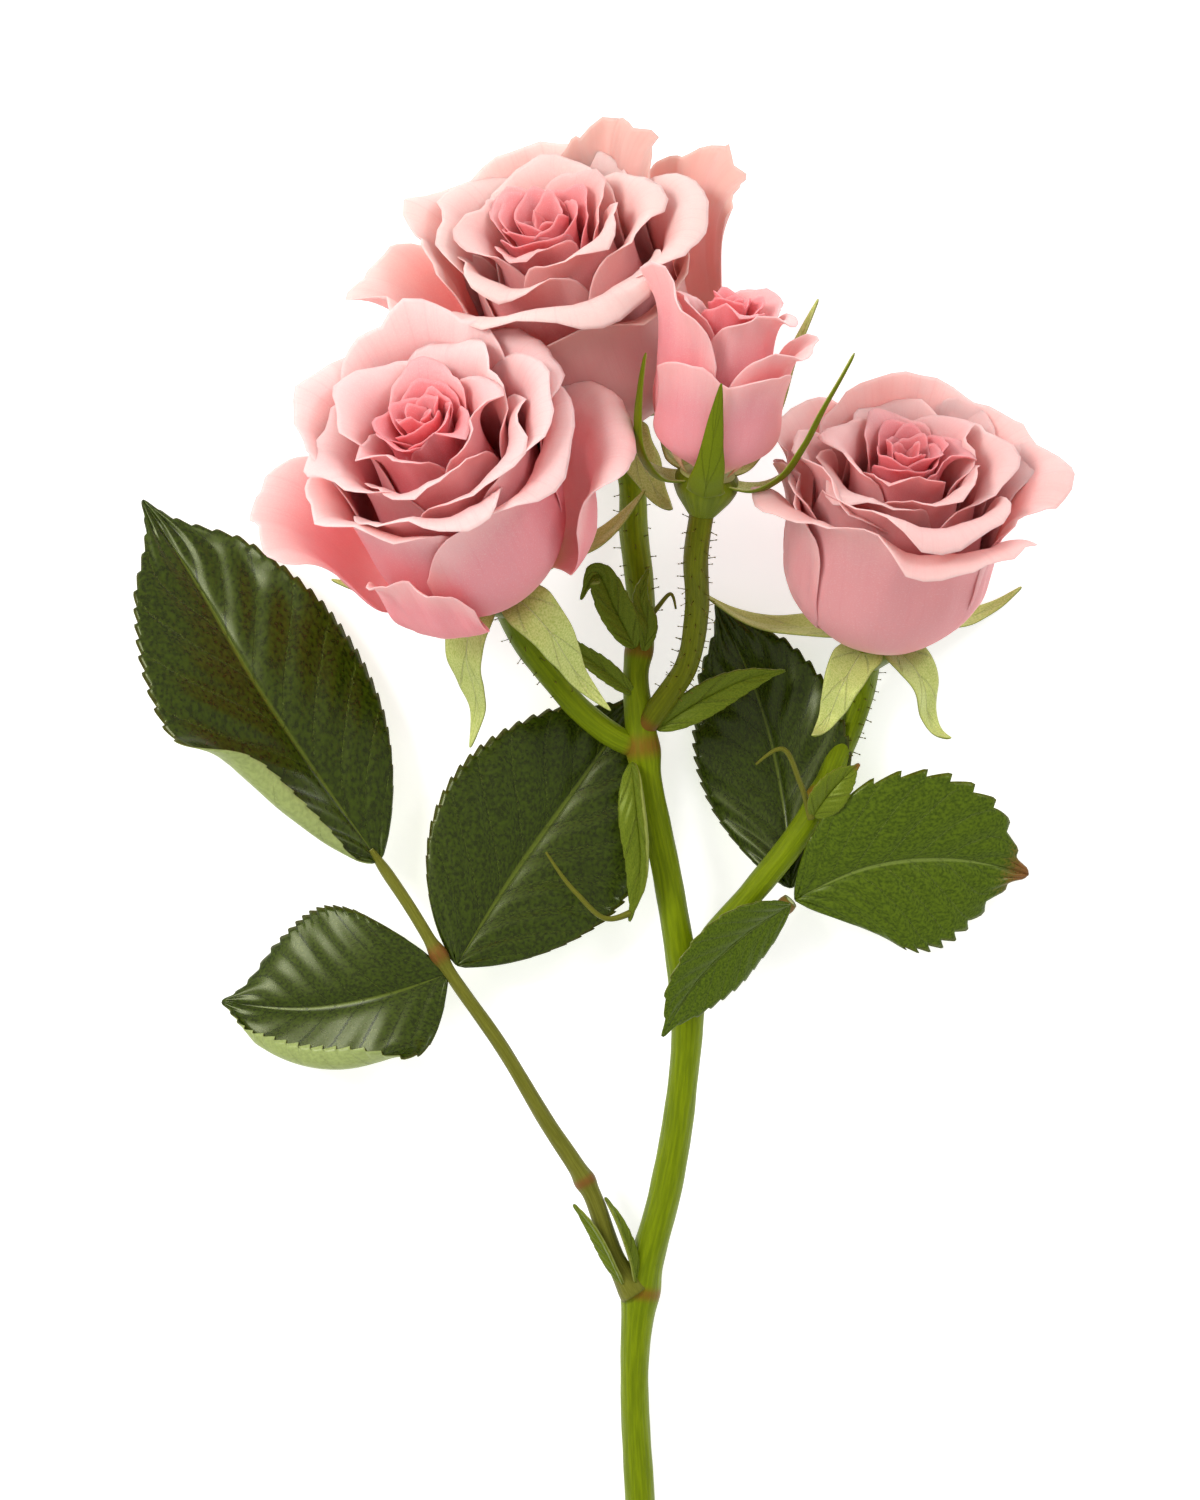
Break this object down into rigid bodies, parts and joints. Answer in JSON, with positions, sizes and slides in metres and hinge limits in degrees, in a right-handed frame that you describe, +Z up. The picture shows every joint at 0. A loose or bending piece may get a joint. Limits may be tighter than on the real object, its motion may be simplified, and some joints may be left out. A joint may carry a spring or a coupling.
{
  "type": "cut spray rose",
  "caption": "Cut pink spray rose lying on its side: a slanted-cut stem with side stems, open double blooms, a half-open bud, hanging sepals, bracts and compound leaves.",
  "frame": {"origin": "middle of the lying spray's footprint, on the surface it lies on", "axes": "+Y along the spray from the cut end to the flowers, +Z up from the surface, +X to the right seen from above"},
  "size_m": [0.1482, 0.2634, 0.0648],
  "materials": {
    "petal": "matte",
    "heart_petal": "matte",
    "stem": "satin",
    "calyx": "satin",
    "leaf": "satin",
    "bract": "satin"
  },
  "bodies": {
    "root": {"left_bloom_calyx": "calyx", "left_bloom_heart": "heart_petal", "left_bloom_petal_01": "petal", "left_bloom_petal_02": "petal", "left_bloom_petal_03": "petal", "left_bloom_petal_04": "petal", "left_bloom_petal_05": "petal", "left_bloom_petal_06": "petal", "left_bloom_petal_07": "petal", "left_bloom_petal_08": "petal", "left_bloom_petal_09": "petal", "left_bloom_petal_10": "petal", "top_bloom_calyx": "calyx", "top_bloom_heart": "heart_petal", "top_bloom_petal_01": "petal", "top_bloom_petal_02": "petal", "top_bloom_petal_03": "petal", "top_bloom_petal_04": "petal", "top_bloom_petal_05": "petal", "top_bloom_petal_06": "petal", "top_bloom_petal_07": "petal", "top_bloom_petal_08": "petal", "top_bloom_petal_09": "petal", "top_bloom_petal_10": "petal", "right_bloom_calyx": "calyx", "right_bloom_heart": "heart_petal", "right_bloom_petal_01": "petal", "right_bloom_petal_02": "petal", "right_bloom_petal_03": "petal", "right_bloom_petal_04": "petal", "right_bloom_petal_05": "petal", "right_bloom_petal_06": "petal", "right_bloom_petal_07": "petal", "right_bloom_petal_08": "petal", "right_bloom_petal_09": "petal", "right_bloom_petal_10": "petal", "bud_calyx": "calyx", "bud_heart": "heart_petal", "bud_petal_01": "petal", "bud_petal_02": "petal", "bud_petal_03": "petal", "bud_petal_04": "petal", "bud_petal_05": "petal", "main_stem": "stem", "right_stem": "stem", "bud_stem": "stem", "left_stem": "stem", "left_leaf_stalk": "stem", "left_leaf_end_leaflet": "leaf", "left_leaf_outer_leaflet": "leaf", "left_leaf_inner_leaflet": "leaf", "right_leaf_stalk": "stem", "right_leaf_end_leaflet": "leaf", "right_leaf_back_leaflet": "leaf", "right_leaf_front_leaflet": "leaf", "crown_bract": "bract", "hanging_bract": "bract", "upper_bract": "bract", "right_bract": "bract"}
  },
  "joints": []
}
